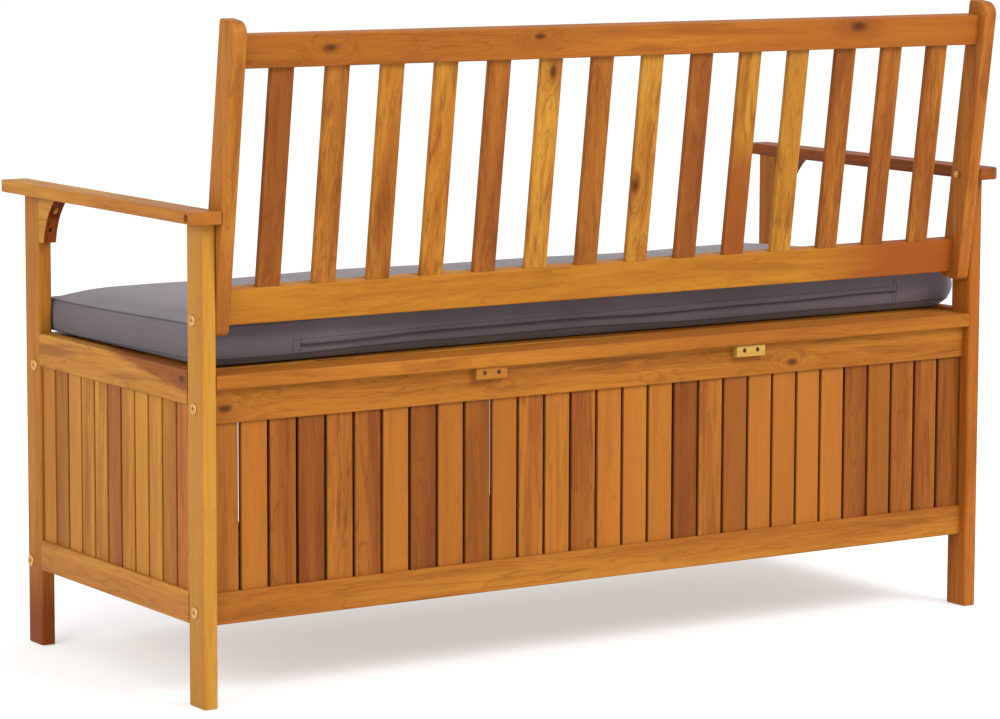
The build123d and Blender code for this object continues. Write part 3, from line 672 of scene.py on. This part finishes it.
for k in range(count):
    on_rear = normals[k].y > FACES_REAR
    for r, row in enumerate(boxing_rows):
        point = vertices[row[k]].co
        pucker = noise.noise(Vector((point.x * 16, point.y * 16, 3.0 + r * 0.15)))
        edge = max(0.0, 1 - min(r, ROWS - r) / 3.0)
        belly = BULGE * math.sin(math.pi * (r / ROWS) ** 0.9) * (REAR_BELLY if on_rear else 1.0)
        vertices[row[k]].co = point + normals[k] * (PUCKER * pucker - SEAM_PULL * edge + belly)
    x = vertices[boxing_rows[-1][k]].co.x
    if on_rear and ZIP_ENDS[0] < x < ZIP_ENDS[1]:
        ends = smooth(x, ZIP_ENDS[0], ZIP_ENDS[0] + ZIP_FADE)
        ends *= 1 - smooth(x, ZIP_ENDS[1] - ZIP_FADE, ZIP_ENDS[1])
        for r, row in enumerate(boxing_rows[1:-1], start=1):
            height = vertices[row[k]].co.z - zip_height(x)
            flap = smooth(height, -0.002, 0.002) * (1 - smooth(height, 0.008, 0.02))
            under = (1 - smooth(height, -0.004, 0.0)) * smooth(height, -0.016, -0.006)
            proud = FLAP * flap - UNDER_FLAP * under
            vertices[row[k]].co += normals[k] * proud * ends
for vertex in vertices:
    if vertex.co.y < LEG_REAR and abs(vertex.co.x) > LEG_FACE:
        vertex.co.x = math.copysign(LEG_FACE, vertex.co.x)
shade_smooth(cover_mesh)
cover_mesh.update()
finer = cover.modifiers.new("Finer", "SUBSURF")
finer.levels = finer.render_levels = 1
shape = cover.evaluated_get(bpy.context.evaluated_depsgraph_get())
fine_mesh = bpy.data.meshes.new_from_object(shape)
cover.modifiers.clear()
cover.data = fine_mesh
shade_smooth(fine_mesh)


def finished(name, mesh):
    """Makes a smooth object of a bmesh."""
    bmesh.ops.recalc_face_normals(mesh, faces=mesh.faces)
    data = bpy.data.meshes.new(name)
    mesh.to_mesh(data)
    mesh.free()
    shade_smooth(data)
    return link(bpy.data.objects.new(name, data))


TUBE_SIDES = 8


def tube(name, path, radius, closed=False):
    """A mesh tube round a path of points."""
    mesh = bmesh.new()
    loops = []
    total = len(path)
    for i, point in enumerate(path):
        before = path[i - 1] if closed or i else path[i]
        after = path[(i + 1) % total] if closed or i < total - 1 else path[i]
        along = (after - before).normalized()
        side = along.cross(Vector(UP))
        side = side.normalized() if side.length > 0.05 else Vector((0, 1, 0)).cross(along).normalized()
        up = side.cross(along)
        loop = []
        for s in range(TUBE_SIDES):
            turn = 2 * math.pi * s / TUBE_SIDES
            loop.append(mesh.verts.new(point + radius * (math.cos(turn) * side + math.sin(turn) * up)))
        loops.append(loop)
    pairs = zip(loops, loops[1:] + loops[:1]) if closed else zip(loops, loops[1:])
    for one, two in pairs:
        for s in range(TUBE_SIDES):
            mesh.faces.new((one[s], one[(s + 1) % TUBE_SIDES], two[(s + 1) % TUBE_SIDES], two[s]))
    if not closed:
        mesh.faces.new(loops[0][::-1])
        mesh.faces.new(loops[-1])
    return finished(name, mesh)


SEAM_RADIUS, ZIP_RADIUS, STITCH_RADIUS = 0.00085, 0.0016, 0.0006
seam_paths = {
    "cushion_seam_top": [vertices[i].co + normals[k] * -0.0002 for k, i in enumerate(boxing_rows[-1])],
    "cushion_seam_bottom": [vertices[i].co + Vector((0, 0, 0.0010)) for i in boxing_rows[0]],
}
seams = [tube(name, path, SEAM_RADIUS, closed=True) for name, path in seam_paths.items()]


def boxing_point(x, z, proud):
    """Point on the rear boxing at a height, by interpolation along its columns, moved out by proud."""
    best = None
    for k in range(count):
        if normals[k].y < FACES_REAR:
            continue
        n = (k + 1) % count
        a, b = vertices[boxing_rows[-1][k]].co, vertices[boxing_rows[-1][n]].co
        if min(a.x, b.x) <= x <= max(a.x, b.x) and normals[n].y > FACES_REAR:
            s = (x - a.x) / (b.x - a.x) if b.x != a.x else 0.0
            column = [vertices[row[k]].co.lerp(vertices[row[n]].co, s) for row in boxing_rows]
            for lower, upper in zip(column, column[1:]):
                if lower.z <= z <= upper.z:
                    best = lower.lerp(upper, (z - lower.z) / max(upper.z - lower.z, 1e-9))
            break
    if best is None:
        best = Vector((x, rear_edge(x), z))
    return best + Vector((0, proud, 0))


ZIP_STEPS = 150
zip_path = []
for i in range(ZIP_STEPS + 1):
    x = ZIP_ENDS[1] + (ZIP_ENDS[0] - ZIP_ENDS[1]) * i / ZIP_STEPS
    zip_path.append(boxing_point(x, zip_height(x) - 0.0006, 0.0002))
zip_line = tube("cushion_zip", zip_path, ZIP_RADIUS)

STITCH_STEP = 0.0045  # from one stitch to the next
STITCH_SIDES = 6


def stitch_run(name, start_point, end_point):
    """A row of short raised stitches between two (x, height) places on the rear boxing."""
    mesh = bmesh.new()
    length = math.hypot(end_point[0] - start_point[0], end_point[1] - start_point[1])
    number = max(1, int(length / STITCH_STEP))
    for i in range(number):
        ends = []
        for part in (0.12, 0.72):
            s = (i + part) / number
            x = start_point[0] + (end_point[0] - start_point[0]) * s
            z = start_point[1] + (end_point[1] - start_point[1]) * s
            ends.append(boxing_point(x, z, 0.0006))
        along = (ends[1] - ends[0]).normalized()
        side = along.cross(Vector((0, 1, 0))).normalized()
        up = side.cross(along)
        rings = []
        for s, swell in ((0.0, 0.35), (0.25, 1.0), (0.75, 1.0), (1.0, 0.35)):
            centre = ends[0].lerp(ends[1], s)
            ring = []
            for q in range(STITCH_SIDES):
                turn = 2 * math.pi * q / STITCH_SIDES
                spoke = math.cos(turn) * side + math.sin(turn) * up
                ring.append(mesh.verts.new(centre + STITCH_RADIUS * swell * spoke))
            rings.append(ring)
        for one, two in zip(rings, rings[1:]):
            for q in range(STITCH_SIDES):
                n = (q + 1) % STITCH_SIDES
                mesh.faces.new((one[q], one[n], two[n], two[q]))
        mesh.faces.new(rings[0][::-1])
        mesh.faces.new(rings[-1])
    return finished(name, mesh)


# stitches: a small tab at the right end of the zip, two rows across at its left end, and one along the flap
left_zip, right_zip = ZIP_ENDS
tab = right_zip + 0.013
tab_low, tab_high = SEAT + 0.017, SEAT + 0.032
row_low, row_high = SEAT + 0.010, SEAT + 0.056
flap_right = (right_zip - 0.006, zip_height(right_zip) + 0.008)
flap_left = (left_zip + 0.01, zip_height(left_zip) + 0.008)
stitches = [
    stitch_run("cushion_stitches_right_a", (right_zip, row_low), (right_zip, SEAT + 0.035)),
    stitch_run("cushion_stitches_right_b", (tab, tab_low), (tab, tab_high)),
    stitch_run("cushion_stitches_right_c", (tab, tab_high), (right_zip, tab_high)),
    stitch_run("cushion_stitches_left_a", (left_zip, row_low), (left_zip, row_high)),
    stitch_run("cushion_stitches_left_b", (left_zip + 0.006, row_low), (left_zip + 0.006, row_high)),
    stitch_run("cushion_stitches_zip", flap_right, flap_left),
]


SHADE, SLUBS, CREASES = 5.0, 130.0, 28.0  # noise scales
WEAVE, FINE_WEAVE = 0.0011, 0.0007  # widths of a thread pair


def fabric(name, light, dark, weave):
    """Plain-woven polyester, a little lighter at the cushion's left end, with painted shade darkening its right
    end face.
    """
    t = Tree(name)
    where = t.add("ShaderNodeTexCoord").outputs["Object"]
    parts = t.add("ShaderNodeSeparateXYZ")
    t.put(parts.inputs[0], where)
    x, y, z = parts.outputs
    turns = 2 * math.pi / weave
    one = t.math("SINE", t.math("MULTIPLY", t.math("ADD", x, t.math("MULTIPLY", z, 0.3)), turns))
    two = t.math("SINE", t.math("MULTIPLY", t.math("ADD", y, z), turns))
    cross = t.math("MULTIPLY", one, two)
    cloud = t.noise(where, SHADE, 3.0)
    slub = t.noise(t.vector("MULTIPLY", where, (1.0, 9.0, 9.0)), SLUBS, 2.0)
    body = t.mix(t.span(cloud, 0.3, 0.7), dark, light)
    body = t.mix(t.math("MULTIPLY", t.span(cross, -1.0, 1.0), 0.22), body, tuple(c * 0.6 for c in dark))
    body = t.mix(t.math("MULTIPLY", t.span(slub, 0.5, 0.8), 0.18), body, tuple(min(1, c * 1.35) for c in light))
    body = t.mix(t.span(x, -0.30, -0.62, 0.0, 0.35), body, tuple(min(1, c * 1.6) for c in light))
    # painted shade: the cushion's right end face is darkened
    body = t.mix(t.span(x, 0.655, 0.664, 0.0, 0.6), body, tuple(c * 0.78 for c in dark))
    t.set(Base_Color=body)
    t.set(Roughness=t.span(cross, -1.0, 1.0, 0.72, 0.86))
    t.set(Specular_IOR_Level=0.3, Sheen_Weight=0.25, Sheen_Roughness=0.45)
    crease = t.noise(where, CREASES, 2.0)
    height = t.math("ADD", t.math("MULTIPLY", cross, 0.4), t.math("MULTIPLY", crease, 1.6))
    t.bump(height, strength=0.25, distance=0.0008)
    return t.material


cover_cloth = fabric("cushion_cloth", srgb("#61575D"), srgb("#534A4F"), WEAVE)
thread = fabric("cushion_thread", srgb("#4A444B"), srgb("#39343A"), FINE_WEAVE)
# the seam and zip tubes get a near-black cloth: painted shadow in the seam creases and under the zip's flap
seam_and_zip_shadow = fabric("cushion_zip_shadow", srgb("#2E292F"), srgb("#242025"), FINE_WEAVE)
cover.data.materials.append(cover_cloth)
for piece in (*seams, zip_line):
    piece.data.materials.append(seam_and_zip_shadow)
for piece in stitches:
    piece.data.materials.append(thread)
for piece in (cover, *seams, zip_line, *stitches):
    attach(piece, "cushion")
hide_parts("cushion")


# ---- room, lights and camera ---------------------------------------------------------------------------------
FLOOR_HALF = 30
paper = Tree("studio_white")
paper.set(
    Base_Color=(0.55, 0.55, 0.55, 1.0), Roughness=0.9, Specular_IOR_Level=0.1,
    Emission_Color=(1.0, 1.0, 1.0, 1.0), Emission_Strength=0.46,
)
floor_mesh = bpy.data.meshes.new("studio_floor")
floor_mesh.from_pydata(
    [(x * FLOOR_HALF, y * FLOOR_HALF, 0) for x, y in ((-1, -1), (1, -1), (1, 1), (-1, 1))], [], [(0, 1, 2, 3)]
)
floor_mesh.materials.append(paper.material)
studio_floor = link(bpy.data.objects.new("studio_floor", floor_mesh))
studio_floor.location.z = -0.0005  # just under the feet

world = bpy.data.worlds.new("studio")
world.use_nodes = True
world.node_tree.nodes["Background"].inputs["Color"].default_value = (1.0, 1.0, 1.0, 1.0)
world.node_tree.nodes["Background"].inputs["Strength"].default_value = 1.0
scene = bpy.context.scene
scene.world = world


def lamp(name, spot, target, power, width, height):
    """A soft rectangular lamp that faces its target."""
    data = bpy.data.lights.new(name, "AREA")
    data.shape = "RECTANGLE"
    data.size, data.size_y = width, height
    data.energy = power
    light = link(bpy.data.objects.new(name, data))
    light.location = spot
    light.rotation_euler = (target - spot).to_track_quat("-Z", "Y").to_euler()


middle = (cad_box[0] + cad_box[1]) / 2
lamp("key", middle + Vector((-1.6, 3.6, 3.0)), middle, power=192, width=2.4, height=2.0)
lamp("fill", middle + Vector((4.0, 1.5, 1.6)), middle, power=92, width=2.5, height=2.0)

scene.view_settings.view_transform = "Standard"
scene.view_settings.look = "None"

# the camera stands behind the bench's right end, looking slightly down
STANDS = (3.1054, 4.7383, 1.1759)
AZIMUTH = math.radians(146.99)
PITCH = 0.1193  # radians below the horizon
ROLL = 0.0031
LENS, SENSOR = 135.73, 36.0
SHIFT = -0.06
camera_data = bpy.data.cameras.new("camera")
camera_data.sensor_width = SENSOR
camera_data.lens = LENS
camera_data.shift_y = SHIFT
camera_data.clip_end = 100
camera = link(bpy.data.objects.new("camera", camera_data))
vertical = Vector(UP)
ahead = Vector((-math.sin(AZIMUTH), math.cos(AZIMUTH), 0))
right = ahead.cross(vertical)
look = math.cos(PITCH) * ahead - math.sin(PITCH) * vertical
up = math.cos(PITCH) * vertical + math.sin(PITCH) * ahead
right_rolled = math.cos(ROLL) * right + math.sin(ROLL) * up
up_rolled = math.cos(ROLL) * up - math.sin(ROLL) * right
columns = zip(right_rolled, up_rolled, -look, STANDS)
camera.matrix_world = Matrix((*columns, (0, 0, 0, 1)))
scene.camera = camera
